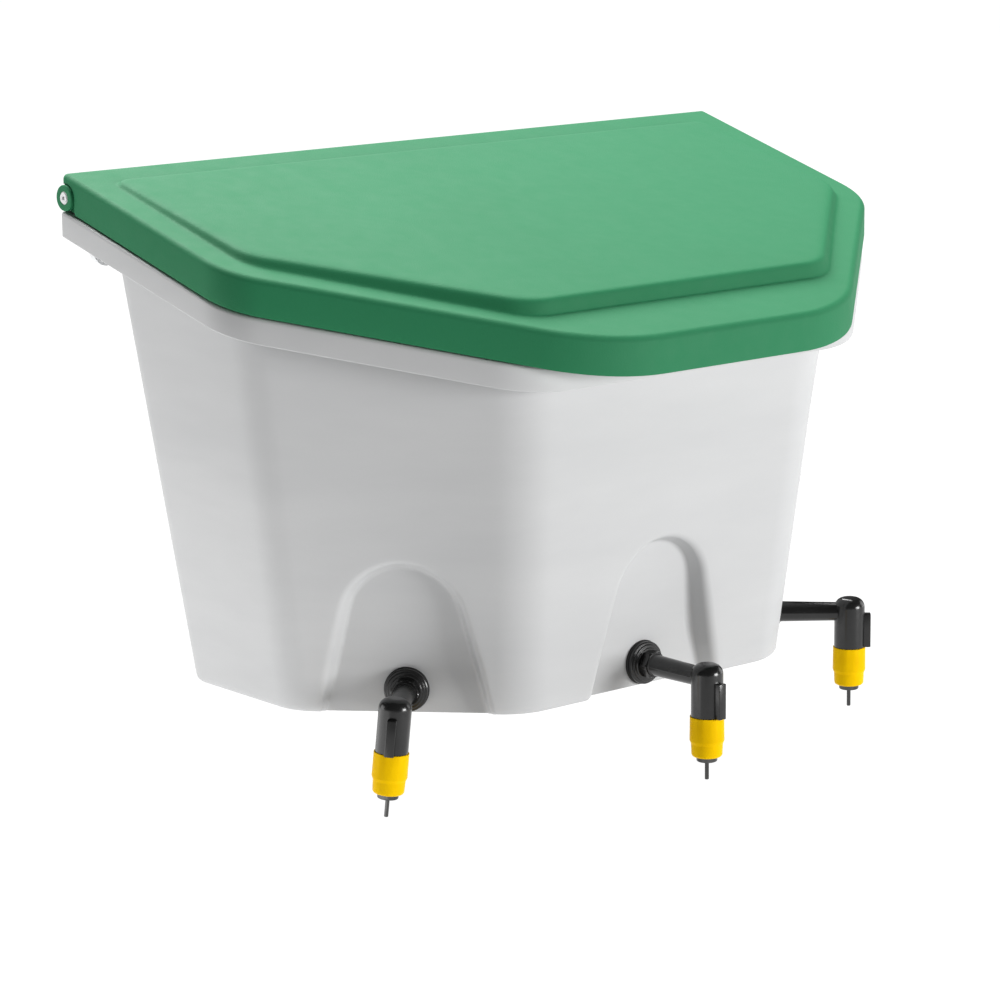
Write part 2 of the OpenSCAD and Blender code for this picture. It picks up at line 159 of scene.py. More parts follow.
def cut(ob, cutters, op="DIFFERENCE"):
    """applies the cutters to the object and removes them"""
    for cutter in cutters:
        mod = ob.modifiers.new("cut", "BOOLEAN")
        mod.operation = op
        mod.solver = "EXACT"
        mod.object = cutter
    graph = bpy.context.evaluated_depsgraph_get()
    me = bpy.data.meshes.new_from_object(ob.evaluated_get(graph))
    ob.modifiers.clear()
    ob.data = me
    for cutter in cutters:
        bpy.data.objects.remove(cutter)


def unit(v):
    v = np.asarray(v, float)
    return v / np.linalg.norm(v)


def fillet(corner, before, after, radius):
    """centre, first angle and sweep of the arc that rounds a corner between two neighbours"""
    u, v = unit(before - corner), unit(after - corner)
    half_angle = math.acos(max(-1.0, min(1.0, float(u @ v)))) / 2
    centre = corner + unit(u + v) * radius / math.sin(half_angle)
    reach = radius / math.tan(half_angle)
    start, end = corner + u * reach - centre, corner + v * reach - centre
    first, last = math.atan2(start[1], start[0]), math.atan2(end[1], end[0])
    sweep = (last - first + math.pi) % (2 * math.pi) - math.pi
    return centre, first, sweep


def rounded(points, steps=6):
    """polyline of (r, z[, radius]) with its corners rounded"""
    out = []
    for i, point in enumerate(points):
        corner = np.array(point[:2], float)
        radius = point[2] if len(point) > 2 else 0.0
        if radius <= 0 or i in (0, len(points) - 1):
            out.append(tuple(corner))
            continue
        before, after = np.array(points[i - 1][:2], float), np.array(points[i + 1][:2], float)
        centre, first, sweep = fillet(corner, before, after, radius)
        for k in range(steps + 1):
            q = first + sweep * k / steps
            out.append(tuple(centre + radius * np.array([math.cos(q), math.sin(q)])))
    return out


def lathe(name, profile, steps=72, m=None, radial=None, crease=CREASE):
    """solid of revolution about +Z from (r, z) points, moved by m; radial(angle, r, z) may change r"""
    verts, faces, rows = [], [], []
    for r, z in profile:
        if r < ON_AXIS:
            rows.append([len(verts)] * steps)
            verts.append((0, 0, z))
            continue
        rows.append(list(range(len(verts), len(verts) + steps)))
        for k in range(steps):
            a = 2 * math.pi * k / steps
            q = radial(a, r, z) if radial else r
            verts.append((q * math.cos(a), q * math.sin(a), z))
    for low, high in zip(rows, rows[1:]):
        for k in range(steps):
            after = (k + 1) % steps
            face = list(dict.fromkeys((low[k], low[after], high[after], high[k])))
            if len(face) > 2:
                faces.append(face)
    ob = new_object(name, verts, faces, weld=FINE_WELD, crease=crease)
    if m is not None:
        ob.data.transform(m)
    return ob


def prism(name, outline, z0, z1, bevel, m):
    """prism over a closed 2-D outline with bevelled ends"""
    n = len(outline)
    outline = np.array(outline, float)
    centre = outline.mean(axis=0)
    extent = np.abs(outline - centre).max()
    levels = [(z0, bevel), (z0 + bevel, 0.0), (z1 - bevel, 0.0), (z1, bevel)]
    verts = []
    for z, inset in levels:
        for p in outline:
            x, y = centre + (p - centre) * (1 - inset / extent)
            verts.append((x, y, z))
    last = len(levels) - 1
    faces = [list(range(n))[::-1], list(range(last * n, last * n + n))]
    for j in range(last):
        for i in range(n):
            k = (i + 1) % n
            faces.append([j * n + i, j * n + k, (j + 1) * n + k, (j + 1) * n + i])
    ob = new_object(name, verts, faces, weld=FINE_WELD)
    ob.data.transform(m)
    return ob


class Mesh:
    """collects grids of quads into one mesh"""

    def __init__(self):
        self.points, self.faces, self.count = [], [], 0

    def grid(self, rows, closed=False, flip=False):
        """quads between neighbouring rows, which are equally long lists of points"""
        rows = [np.asarray(r, float) for r in rows]
        n = len(rows[0])
        base = self.count
        self.points.append(np.concatenate(rows))
        self.count += len(rows) * n
        for j in range(len(rows) - 1):
            low, high = base + j * n, base + (j + 1) * n
            for i in range(n if closed else n - 1):
                k = (i + 1) % n
                face = [low + i, low + k, high + k, high + i]
                self.faces.append(face[::-1] if flip else face)

    def make(self, name, **how):
        return new_object(name, np.concatenate(self.points), self.faces, clean=False, **how)


# ------------------------------------------------------------------ outlines of the tank and lid
HALF_W, DEPTH = 210.0, 212.3    # the rim's half width and depth
RIM_Z, RIM_H = 220.0, 12.1      # its lower edge where Y = 0, and its height
RIM_TOP = RIM_Z + RIM_H
FALL = 0.293                    # its slope, down towards the front
SIDE_Y = -0.585 * DEPTH         # where a side turns into the diagonal
WALL = 3.0                      # the tank's thickness
LIP_Z = RIM_TOP + 7.0           # upper edge of the splash lip inside the rim


def half(inside, behind):
    """rear, side and front corner, each so far inside the half width and behind its guide line"""
    return [(HALF_W - i, y + b) for i, y, b in zip(inside, (0.0, SIDE_Y, -DEPTH), behind)]


# each outline: half of it, then the radii of the rear, side and front corners
RIM_LINE = (half((0, 3.7, 107.6), (0, 3.2, 0)), (1.5, 37, 51.5))
TOP_LINE = (half((6.2, 17.9, 116), (-27.3, 7.9, 13.6)), (12, 29, 44))
BOTTOM_LINE = (half((54.5, 51.7, 127.7), (-17.5, 23, 30.1)), (12, 27, 31))
LID_LINE = (half((1.4, 3.4, 133.9), (0.9, 2.1, -23.4)), (3, 36, 84))
PANEL_FOOT = (half((16, 16.8, 113.5), (-16, 6.8, 9.4)), (7, 20, 30))
PANEL_FACE = (half((27.3, 26.8, 119.5), (-21, 13.4, 14.2)), (3, 28, 34))

SKIRT_Z = RIM_TOP + 1.75
SKIRT_LOW = SKIRT_Z - 0.8       # the skirt's edge, just clear of the rim
LID_Z, LID_FALL = SKIRT_Z + 15.8, FALL - 0.006
PANEL_Z, PANEL_FALL = LID_Z + 1.6, LID_FALL - 0.0275
HINGE = (-2.4, 238.1)           # Y and Z of the hinge line

ARC_COLUMNS = 14                # columns round each corner
SEAT_COLUMNS = 26               # columns on a straight that has a seat
# columns on the left side, left diagonal, front, right diagonal, right side and rear
COLUMNS = (14, SEAT_COLUMNS, SEAT_COLUMNS, SEAT_COLUMNS, 14, 20)
PLAIN = (0, 4, 5)               # the straights without a seat


def full_loop(h):
    """the six corners from the rear left over the front to the rear right"""
    return [np.array(p, float) for p in [(-x, y) for x, y in h] + h[::-1]]


def inset_loop(corners, t):
    """the corners after every side has moved inwards by t"""
    out = []
    for i in range(6):
        before, here, after = corners[i - 1], corners[i], corners[(i + 1) % 6]
        d, e = unit(here - before), unit(after - here)
        m, n = np.array([-d[1], d[0]]), np.array([-e[1], e[0]])
        out.append(here + (m + n) * t / (1 + m @ n))
    return out


class Ring:
    """columns round an outline inset by t: each corner's arc, then the straight after it"""

    def __init__(self, outline, t=0.0):
        corners = inset_loop(full_loop(outline[0]), t)
        radii = [max(r - t, 0.6) for r in outline[1] + outline[1][::-1]]
        arcs = []
        for i in range(6):
            centre, first, sweep = fillet(corners[i], corners[i - 1], corners[(i + 1) % 6], radii[i])
            angles = [first + sweep * k / ARC_COLUMNS for k in range(ARC_COLUMNS + 1)]
            directions = [np.array([math.cos(q), math.sin(q)]) for q in angles]
            arcs.append([(centre + radii[i] * d, d) for d in directions])
        points, normals, self.start, self.end = [], [], [], []
        for i in range(6):
            self.start.append(len(points))
            for p, n in arcs[i]:
                points.append(p)
                normals.append(n)
            self.end.append(len(points) - 1)
            p0, n0 = arcs[i][-1]
            p1 = arcs[(i + 1) % 6][0][0]
            for k in range(1, COLUMNS[i]):
                points.append(p0 + (p1 - p0) * k / COLUMNS[i])
                normals.append(n0)
        self.xy, self.n = np.array(points), np.array(normals)

    def straight(self, i):
        """first and last point and the normal of the straight after corner i"""
        return self.xy[self.end[i]], self.xy[self.start[(i + 1) % 6]], self.n[self.end[i]]

    def at(self, z0, fall):
        """the columns on a plane that slopes down towards the front"""
        return np.column_stack([self.xy, z0 + fall * self.xy[:, 1]])


def arc_levels(r, steps):
    """quarter circle of (across, down) round (r, r), from (0, r) to (r, 0)"""
    angles = [math.pi / 2 * i / steps for i in range(steps + 1)]
    return [(r * (1 - math.cos(a)), r * (1 - math.sin(a))) for a in angles]


# ------------------------------------------------------------------ tank: wall and recesses
SEAT_IN, SEAT_ALONG = 5.8, 1.2  # side seats: inwards and sideways from the middle of the bottom's diagonal
FRONT_SEAT_IN = 9.2
SIDE_LEAN, FRONT_LEAN = 0.22, 0.185                 # how the recess floors lean out above ARCH_BEND_Z
ARCH_R, ARCH_Z, ARCH_SPLAY = 26.5, 46.0, math.radians(13.7)
ARCH_BEND_Z, ARCH_BEND = 24.0, 4.0                  # where the floor bends, and how softly
ROUND_IN, ROUND_OUT = 2.2, 4.6  # radii where a recess's side meets its floor and the wall
ROUND_SHARE = 0.44              # share of a recess's depth that a radius may take
SIDE_OUT = 1.5                  # how far a recess's side leans outwards
LOW = 0.56                      # share of the wall's height that the recessed patches take
WALL_H = 200.0                  # rough height of the wall, for shares and first guesses
FOOT_ROUND, INNER_FOOT_ROUND = 4.0, 2.0
# heights of the rows up a recess's leg, close together at the foot; the leg itself ends at LEG_TOP
LEG = np.array([0.0, 0.15, 0.6, 1.35, 2.4, 4.0, 7.0, 11.0, 15.5, 20.0, 25.0, 30.0, 34.0, 38.0, 42.5, 47.0])
LEG_TOP = 52.3
LEG_BLEND = 8.0                 # rows below it blend into heights that don't change with the recess's size
FLOOR_COLUMNS = 25              # columns across a recess's floor
AROUND = (0.12, 0.26, 0.42, 0.6, 0.8)   # rings round a recess, as shares of the way to the patch's border
UPPER_ROWS = 9                  # rows of the wall from LOW up to the rim


def seats():
    """each arm's seat: its place, yaw, the lean of its recess floor and the straight it is on"""
    side, front = (np.array(p, float) for p in BOTTOM_LINE[0][1:])
    yaw = math.atan2(side[1] - front[1], side[0] - front[0])
    inwards, along = np.array([math.sin(yaw), math.cos(yaw)]), np.array([math.cos(yaw), -math.sin(yaw)])
    left = (side + front) / 2 * [-1, 1] + SEAT_IN * inwards - SEAT_ALONG * along
    middle = np.array([0.0, front[1] + FRONT_SEAT_IN])
    return {"left": (left, -yaw, SIDE_LEAN, 1), "front": (middle, 0.0, FRONT_LEAN, 2),
            "right": (left * [-1, 1], yaw, SIDE_LEAN, 3)}


SEATS = seats()


class Wall:
    """the tapered wall, inset and lifted by t, up to the rim's plane; foot_r rounds its lower edge"""

    def __init__(self, t, foot_r):
        self.low, self.high = Ring(BOTTOM_LINE, t), Ring(TOP_LINE, t)
        self.t, self.foot_r = t, foot_r

    def foot(self, z):
        """how far the rounding draws the wall in at height z"""
        h = np.clip(z - self.t, 0, self.foot_r)
        return self.foot_r - np.sqrt(np.maximum(self.foot_r ** 2 - (self.foot_r - h) ** 2, 0))

    def between(self, low, high, low_n, high_n, g):
        """points at share g of the height between points of the two outlines, with their normals"""
        top_z = RIM_Z + FALL * high[..., 1:2]
        z = self.t + (top_z - self.t) * g
        f = z / top_z
        xy = low + (high - low) * f - (low_n + (high_n - low_n) * f) * self.foot(z)
        return np.concatenate([xy, z], axis=-1)

    def ring(self, g):
        """the whole wall's columns at share g of its height"""
        return self.between(self.low.xy, self.high.xy, self.low.n, self.high.n, g)

    def patch(self, k, s, g):
        """points on the straight after corner k at shares s along it and g up it"""
        low0, low1, low_n = self.low.straight(k)
        high0, high1, high_n = self.high.straight(k)
        s, g = np.asarray(s, float)[..., None], np.asarray(g, float)[..., None]
        return self.between(low0 + (low1 - low0) * s, high0 + (high1 - high0) * s, low_n, high_n, g)

    def solve(self, seat, u, z, rounds=8, step=0.01):
        """points on the seat's straight whose sideways place is u and height z, by small corrections"""
        at, yaw, _, k = seat
        along = np.array([math.cos(yaw), math.sin(yaw)])
        s, g = np.full(np.shape(u), 0.5), np.asarray(z, float) / WALL_H
        for _ in range(rounds):
            p = self.patch(k, s, g)
            q = self.patch(k, s + step, g)
            s = s + (u - (p[..., :2] - at) @ along) / ((q - p)[..., :2] @ along / step)
            p = self.patch(k, s, g)
            q = self.patch(k, s, g + step)
            g = g + (z - p[..., 2]) / ((q - p)[..., 2] / step)
        return self.patch(k, s, g)


def low_levels():
    """shares of the wall's height for the rows below LOW, close together at the foot"""
    first = FOOT_ROUND / WALL_H
    rest = (LOW - first) / (LEG_TOP - FOOT_ROUND)
    return [z / WALL_H if z <= FOOT_ROUND else first + rest * (z - FOOT_ROUND) for z in LEG] + [LOW]


def arch(growth, foot_z):
    """recess outline grown outwards, as (u, z) from the right foot over the top to the left foot"""
    r = ARCH_R + growth
    tangent_z = ARCH_Z + r * math.sin(ARCH_SPLAY)
    w = np.clip(LEG / LEG_BLEND, 0, 1)
    z = foot_z + LEG * (tangent_z - foot_z) / LEG_TOP * w + LEG * (1 - w)
    z = np.append(z, tangent_z)
    side = (r + (ARCH_Z - z) * math.sin(ARCH_SPLAY)) / math.cos(ARCH_SPLAY)
    right = np.column_stack([side, z])
    span = math.pi - 2 * ARCH_SPLAY
    angles = [ARCH_SPLAY + span * i / SEAT_COLUMNS for i in range(1, SEAT_COLUMNS)]
    top = np.array([(r * math.cos(q), ARCH_Z + r * math.sin(q)) for q in angles])
    return np.concatenate([right, top, right[::-1] * [-1, 1]])


def recess(mesh, wall, seat, flip):
    """one recess and the patch of wall round it, down to the wall's foot"""
    at, yaw, lean, k = seat
    along, out = np.array([math.cos(yaw), math.sin(yaw)]), np.array([math.sin(yaw), -math.cos(yaw)])
    grow = wall.t

    def floor_out(z):
        """distance outwards from the seat's plane to the recess floor, with a soft bend"""
        x = z - ARCH_BEND_Z
        return lean * 0.5 * (x + np.sqrt(x * x + ARCH_BEND ** 2)) - grow

    def local(u, z, d):
        """points at sideways place u and height z, d outwards from the seat's plane"""
        return np.column_stack([at + u[:, None] * along + d[:, None] * out, z])

    def outline(growth):
        """the arch with each column grown by its own amount"""
        least, most = float(growth.min()), float(growth.max()) + 1e-3
        low, high = arch(least, grow), arch(most, grow)
        return low + (high - low) * ((growth - least) / (most - least))[:, None]

    # the recess's side: a rounding out of the floor, then one over into the wall
    middle = arch(grow + 1.0, grow)
    depth = (wall.solve(seat, *middle.T)[:, :2] - at) @ out - floor_out(middle[:, 1])
    r_in = np.minimum(ROUND_IN + grow, ROUND_SHARE * depth)
    r_out = np.minimum(max(ROUND_OUT - grow, 0.8), ROUND_SHARE * depth)
    levels = [(grow - r_in * down, r_in * across / depth) for across, down in arc_levels(1.0, 5)]
    levels += [(grow + SIDE_OUT + r_out * across, (depth - r_out * down) / depth)
               for across, down in arc_levels(1.0, 6)]
    rows = []
    for growth, share in levels:
        u, z = outline(growth).T
        face = (wall.solve(seat, u, z)[:, :2] - at) @ out
        rows.append(local(u, z, floor_out(z) + (face - floor_out(z)) * share))
    mesh.grid(rows, flip=not flip)

    # the floor: rows between the mirror pairs of the innermost outline
    line = outline(levels[0][0])
    floor_rows = []
    for right, left in zip(line[:len(line) // 2 + 1], line[::-1]):
        u, z = np.linspace(right, left, FLOOR_COLUMNS).T
        floor_rows.append(local(u, z, floor_out(z)))
    mesh.grid(floor_rows, flip=not flip)

    # the wall round the recess, out to the patch's border
    shares = np.array(low_levels())
    right = wall.patch(k, np.ones(len(shares)), shares)
    left = wall.patch(k, np.zeros(len(shares)), shares)
    s = np.linspace(1, 0, SEAT_COLUMNS + 1)[1:-1]
    top = wall.patch(k, s, np.full(len(s), LOW))
    border = np.concatenate([right, top, left[::-1]])
    border_uz = np.column_stack([(border[:, :2] - at) @ along, border[:, 2]])
    line = outline(levels[-1][0])
    rings = [rows[-1]]
    for w in AROUND:
        rings.append(wall.solve(seat, *(line + (border_uz - line) * w).T))
    rings.append(border)
    mesh.grid(rings, flip=not flip)


def close_flat(ob, z, tol=0.02):
    """fills the open outline that lies in the plane at z"""
    bm = bmesh.new()
    bm.from_mesh(ob.data)
    edges = [e for e in bm.edges if len(e.link_faces) == 1 and all(abs(v.co.z - z) < tol for v in e.verts)]
    bmesh.ops.contextual_create(bm, geom=edges)
    bmesh.ops.triangulate(bm, faces=[f for f in bm.faces if len(f.verts) > MOST_CORNERS])
    bm.to_mesh(ob.data)
    bm.free()


def tank_skin(name, t, foot_r):
    """the tank's outer face, or its inner one where t is the wall's thickness"""
    flip = t > 0
    mesh = Mesh()
    wall = Wall(t, foot_r)
    rows = [wall.ring(g) for g in low_levels()]
    count = len(rows[0])
    for k in range(6):
        start, end = wall.low.start[k], wall.low.end[k]
        spans = [range(start, end + 1)]
        if k in PLAIN:
            spans.append(range(end, end + COLUMNS[k] + 1))
        for span in spans:
            columns = [i % count for i in span]
            mesh.grid([r[columns] for r in rows], flip=flip)
    for seat in SEATS.values():
        recess(mesh, wall, seat, flip)
    mesh.grid([wall.ring(g) for g in np.linspace(LOW, 1, UPPER_ROWS)], closed=True, flip=flip)
    ob = mesh.make(name)
    close_flat(ob, t)
    return ob


def build_tank():
    """both faces of the wall, joined by the rim's section from the wall outwards and over the lip"""
    under = RIM_TOP - WALL
    edge_r = 0.8                    # rounding of the rim's lower edge and of the lip
    top_r = 1.8                     # rounding of the rim's upper edge
    section = [(TOP_LINE, 0, RIM_Z), (TOP_LINE, 0, under - 1.0), (TOP_LINE, -0.3, under - 0.3),
               (TOP_LINE, -1.0, under), (RIM_LINE, WALL + 1.0, under), (RIM_LINE, WALL + 0.3, under - 0.3),
               (RIM_LINE, WALL, under - 1.0), (RIM_LINE, WALL, RIM_Z + 0.35),
               (RIM_LINE, WALL - 0.1, RIM_Z + 0.1), (RIM_LINE, WALL - 0.35, RIM_Z)]
    section += [(RIM_LINE, down, RIM_Z + across) for across, down in arc_levels(edge_r, 5)]
    section += [(RIM_LINE, across, RIM_TOP - down) for across, down in arc_levels(top_r, 6)]
    section += [(TOP_LINE, -0.8, RIM_TOP), (TOP_LINE, -0.2, RIM_TOP + 0.2), (TOP_LINE, 0, RIM_TOP + 0.8)]
    section += [(TOP_LINE, across, LIP_Z - down) for across, down in arc_levels(edge_r, 4)]
    section += [(TOP_LINE, WALL - across, LIP_Z - down) for across, down in arc_levels(edge_r, 4)[::-1]]
    section.append((TOP_LINE, WALL, RIM_Z))
    outer = tank_skin("outer", 0.0, FOOT_ROUND)
    inner = tank_skin("inner", WALL, INNER_FOOT_ROUND)
    rim = Mesh()
    rim.grid([Ring(line, t).at(z, FALL) for line, t, z in section], closed=True)
    shell = join("tank_body", [outer, inner, rim.make("rim")])
    bm = bmesh.new()
    bm.from_mesh(shell.data)
    bmesh.ops.remove_doubles(bm, verts=bm.verts, dist=2 * WELD)
    bmesh.ops.recalc_face_normals(bm, faces=bm.faces)
    bm.to_mesh(shell.data)
    bm.free()
    return shell


# ------------------------------------------------------------------ tank: lugs, feet and bores
ALONG = turn("X", 90)           # a lathe's +Z becomes -Y, outwards from the wall
BAR = turn("Y", 90)             # a lathe's +Z becomes +X
MIRROR = Matrix.Scale(-1, 4, (1, 0, 0))
LUG_X, LUG_W, LUG_R = HALF_W - 10.3, 7.4, 5.0
PIN_R, KNUCKLE_R = 3.1, 6.2
FOOT_X, FOOT_Z = 95.0, 34.0     # middle of each rear foot and its rubber buffer
BUFFER_T, BUFFER_STEM_R = 6.0, 3.0
ARM_Z, BORE_R = 11.0, 4.65      # height and radius of the arms' holes


def on_hinge(x=0.0):
    """lays a lathe along the hinge line, with its Z = 0 at x"""
    return shift(x, *HINGE) @ BAR


def block(name, x, y, z, bevel=0.0):
    """box from three (low, high) pairs, its edges bevelled"""
    corners = [(a, b, c) for c in z for b in y for a in x]
    faces = [(0, 2, 3, 1), (4, 5, 7, 6), (0, 1, 5, 4), (2, 6, 7, 3), (0, 4, 6, 2), (1, 3, 7, 5)]
    ob = new_object(name, corners, faces, weld=0)
    if bevel:
        bm = bmesh.new()
        bm.from_mesh(ob.data)
        bmesh.ops.bevel(bm, geom=bm.edges[:], offset=bevel, segments=3, affect="EDGES", profile=0.5)
        bm.to_mesh(ob.data)
        bm.free()
    return ob


def bore(m, r, z0, z1):
    """cutter for a round hole from z0 to z1"""
    return lathe("bore", [(0, z0), (r, z0), (r, z1), (0, z1)], 48, m)


def pair(make):
    """a piece and its mirror image in the middle plane"""
    ob = make()
    other = linked(ob.name + "_m", ob.data.copy())
    other.data.transform(MIRROR)
    other.data.flip_normals()
    return [ob, other]


def lug():
    """ear of the tank that holds a hinge pin"""
    y, z = HINGE
    side = LUG_W / 2
    profile = rounded([(0, -side), (LUG_R, -side, 0.5), (LUG_R, side, 0.5), (0, side)])
    bar = lathe("bar", profile, 48, on_hinge(LUG_X))
    base = block("base", (LUG_X - side, LUG_X + side), (y - LUG_R, -0.1), (RIM_TOP - 3, z))
    cut(bar, [base], "UNION")
    return bar


def foot():
    """stub from the tank's rear towards the wall, with a socket for the buffer's stem"""
    depth, length = 8.0, 30.5
    profile = rounded([(0, depth), (BUFFER_STEM_R, depth), (BUFFER_STEM_R, 0, 0.4), (9.5, 0, 0.8),
                       (12, length), (0, length)], 4)
    return lathe("foot", profile, 64, shift(FOOT_X, WALL_GAP - BUFFER_T, FOOT_Z) @ ALONG)


def seat_matrix(name, lean=0.0):
    """places a piece drawn at the origin and facing -Y at an arm's seat, turned by lean about its bore"""
    at, yaw = SEATS[name][:2]
    return shift(*at, ARM_Z) @ turn("Z", math.degrees(yaw)) @ turn("Y", lean)


def finish_tank(ob):
    """adds the lugs and feet and cuts the holes for the arms and hinge pins"""
    cut(ob, [join("adds", pair(lug) + pair(foot))], "UNION")
    cutters = [bore(seat_matrix(side) @ ALONG, BORE_R, -12, 6) for side in SEATS]
    cutters += pair(lambda: bore(on_hinge(LUG_X), PIN_R, -6, 6))
    cut(ob, [join("bores", cutters)])
    shade(ob, crease=34)


# ------------------------------------------------------------------ lid
EDGE_R, LID_T = 2.9, 2.5        # rounding of the lid's outer edge, and the lid's thickness
KNUCKLE_X = 204.0               # inner end of each knuckle
# the panel's wall: share of the way from its foot to its face, share of its height
PANEL_WALL = [(0, 0), (0.1, 0.01), (0.18, 0.08), (0.27, 0.42), (0.36, 0.78), (0.52, 0.93), (0.75, 0.985),
              (1, 1)]


def soft_path(points, steps=4):
    """uniform cubic B-spline of the points, held at both ends"""
    p = np.array([points[0]] * 2 + list(points) + [points[-1]] * 2, float)
    out = []
    for i in range(len(p) - 3):
        for t in np.arange(steps) / steps:
            w = [(1 - t) ** 3, 3 * t ** 3 - 6 * t ** 2 + 4, -3 * t ** 3 + 3 * t ** 2 + 3 * t + 1, t ** 3]
            out.append(np.array(w) / 6 @ p[i:i + 4])
    return out + [p[-1]]


def panel_rows(t):
    """rows from the panel's foot up its wall to its face, set in by t"""
    low, high = Ring(PANEL_FOOT, t).xy, Ring(PANEL_FACE, t).xy
    rows = []
    for across, up in soft_path(PANEL_WALL):
        xy = low + (high - low) * across
        z0, z1 = LID_Z + LID_FALL * xy[:, 1], PANEL_Z + PANEL_FALL * xy[:, 1]
        rows.append(np.column_stack([xy, z0 + (z1 - z0) * up - t]))
    return rows


def lid_face(t):
    """rows of one face of the lid from the skirt to the panel, set in by t"""
    rows = [Ring(LID_LINE, t).at(SKIRT_Z + up, FALL) for up in (0.5, 3.0)]
    r = max(EDGE_R - t, 1.0)
    rows += [Ring(LID_LINE, t + across).at(LID_Z - t - down, LID_FALL) for across, down in arc_levels(r, 8)]
    rows.append(Ring(LID_LINE, t + r + 1.0).at(LID_Z - t, LID_FALL))
    rows.append(Ring(PANEL_FOOT, t - 1.0).at(LID_Z - t, LID_FALL))
    return rows + panel_rows(t)


def over_panel(edge):
    """height of an edge's middle over the panel's upper face"""
    middle = (edge.verts[0].co + edge.verts[1].co) / 2
    return middle.z - (PANEL_Z + PANEL_FALL * middle.y)


def lid_shell():
    """both faces of the lid, joined round the skirt's edge and closed over the panel"""
    bevel = 0.15
    edge = [(LID_T - bevel, bevel), (LID_T - 0.5, 0), (0.5, 0), (bevel, bevel)]
    edge_rows = [Ring(LID_LINE, t).at(SKIRT_LOW + up, FALL) for t, up in edge]
    shell = Mesh()
    shell.grid(lid_face(LID_T)[::-1] + edge_rows + lid_face(0.0), closed=True)
    ob = shell.make("lid_shell", smooth=False)
    bm = bmesh.new()
    bm.from_mesh(ob.data)
    loops = [e for e in bm.edges if len(e.link_faces) == 1]
    for upper in (True, False):
        loop = [e for e in loops if (over_panel(e) > -LID_T / 2) == upper]
        bmesh.ops.contextual_create(bm, geom=loop)
    bmesh.ops.recalc_face_normals(bm, faces=bm.faces)
    bmesh.ops.triangulate(bm, faces=[f for f in bm.faces if len(f.verts) > MOST_CORNERS])
    bm.to_mesh(ob.data)
    bm.free()
    return ob


def groove():
    """clears the skirt's rear end round the knuckle"""
    y, z = HINGE
    r = KNUCKLE_R + 0.7
    ends = (HALF_W - 3.4, HALF_W + 1)
    ring = bore(on_hinge(), r, *ends)
    cut(ring, [block("end", ends, (y - r, y), (z - 9, z))], "UNION")
    return ring


def knuckle():
    """the lid's round end on the hinge line"""
    end = HALF_W - 0.4
    profile = rounded([(0, KNUCKLE_X), (KNUCKLE_R, KNUCKLE_X, 0.4), (KNUCKLE_R, end, 0.7), (0, end)])
    return lathe("knuckle", profile, 64, on_hinge())


def pocket():
    """leaves room in the lid for the tank's lug"""
    y, z = HINGE
    ends = (LUG_X - LUG_W / 2 - 0.6, KNUCKLE_X)
    hole = bore(on_hinge(), LUG_R + 0.7, *ends)
    cut(hole, [block("slot", ends, (y - 1, y + 7), (z - 8, z + 6))], "UNION")
    return hole


def rest_pad(p, w=4.0):
    """pad under the lid that rests on the tank's lip"""
    square = [(p[0] + a, p[1] + b) for a, b in ((-w, -w), (w, -w), (w, w), (-w, w))]
    points = [(x, y, z + fall * y) for z, fall in ((LIP_Z + 0.03, FALL), (LID_Z - 1.5, LID_FALL))
              for x, y in square]
    faces = [(0, 3, 2, 1), (4, 5, 6, 7), (0, 1, 5, 4), (1, 2, 6, 5), (2, 3, 7, 6), (3, 0, 4, 7)]
    return new_object("pad", points, faces, weld=0)


def build_lid():
    """the lid's shell with its rest pads and knuckles, cut free of the lugs and bored for the pins"""
    ob = lid_shell()
    cut(ob, [join("grooves", pair(groove))])
    on_lip = inset_loop(full_loop(TOP_LINE[0]), WALL / 2)
    pads = [rest_pad((on_lip[i] + on_lip[i + 1]) / 2) for i in range(5)]
    cut(ob, [join("adds", pair(knuckle) + pads)], "UNION")
    cut(ob, [join("pockets", pair(pocket))])
    cut(ob, [join("bores", pair(lambda: bore(on_hinge(), PIN_R + 0.05, KNUCKLE_X - 1, HALF_W + 2)))])
    shade(ob, crease=32)
    return ob


# ------------------------------------------------------------------ nipple arms
# Each is drawn with its seat at the origin, its pipe along -Y and its elbow hanging down at Y = -REACH.
REACH = 45.0
ELBOW_R, ELBOW_END = 7.7, -18.3
DOME_R, DOME_TOP = 5.0, 7.3     # rounding and height of the elbow's top
RIB_W, RIB_OUT = 4.5, 10.7      # the elbow's front rib: width and reach from the elbow's axis
NUT_A, SHANK_R, ROOT_R = -8.6, 4.6, 4.15        # inner end of the nut, and the shank's thread
WATER_R, DROP_R = 2.8, 3.4      # water's way along the pipe and down the elbow
SPIGOT_R, SPIGOT_END = 6.3, -25.8               # lower part of the elbow, inside the cap
CAP_R, CAP_NECK_R, CAP_END, CAP_MOUTH_R = 8.3, 7.35, -37.9, 5.05
LEAN = {"left": 5.5, "front": 0.0, "right": 0.0}        # degrees off upright


def seam(angle, r, z):
    """the pipe's outer radius, with a fine mould seam along both sides"""
    height, width, start = 0.14, 0.045, 10.5
    if not (start < z < REACH and r > 4):
        return r
    off = min(abs(angle), abs(angle - math.pi), abs(angle - 2 * math.pi))
    return r + height * math.exp(-(off / width) ** 2)


def hexagon(name, apothem, z0, z1, m, chamfer=0.8):
    """hexagonal collar with its corners turned down at both ends"""
    full = apothem / math.cos(math.pi / 6)
    slope = chamfer * 0.6

    def radial(a, r, z):
        return min(r, apothem / math.cos(a % (math.pi / 3) - math.pi / 6))

    end = full - chamfer
    profile = [(0, z0), (end, z0), (full, z0 + slope), (full, z1 - slope), (end, z1), (0, z1)]
    return lathe(name, profile, 120, m, radial=radial)


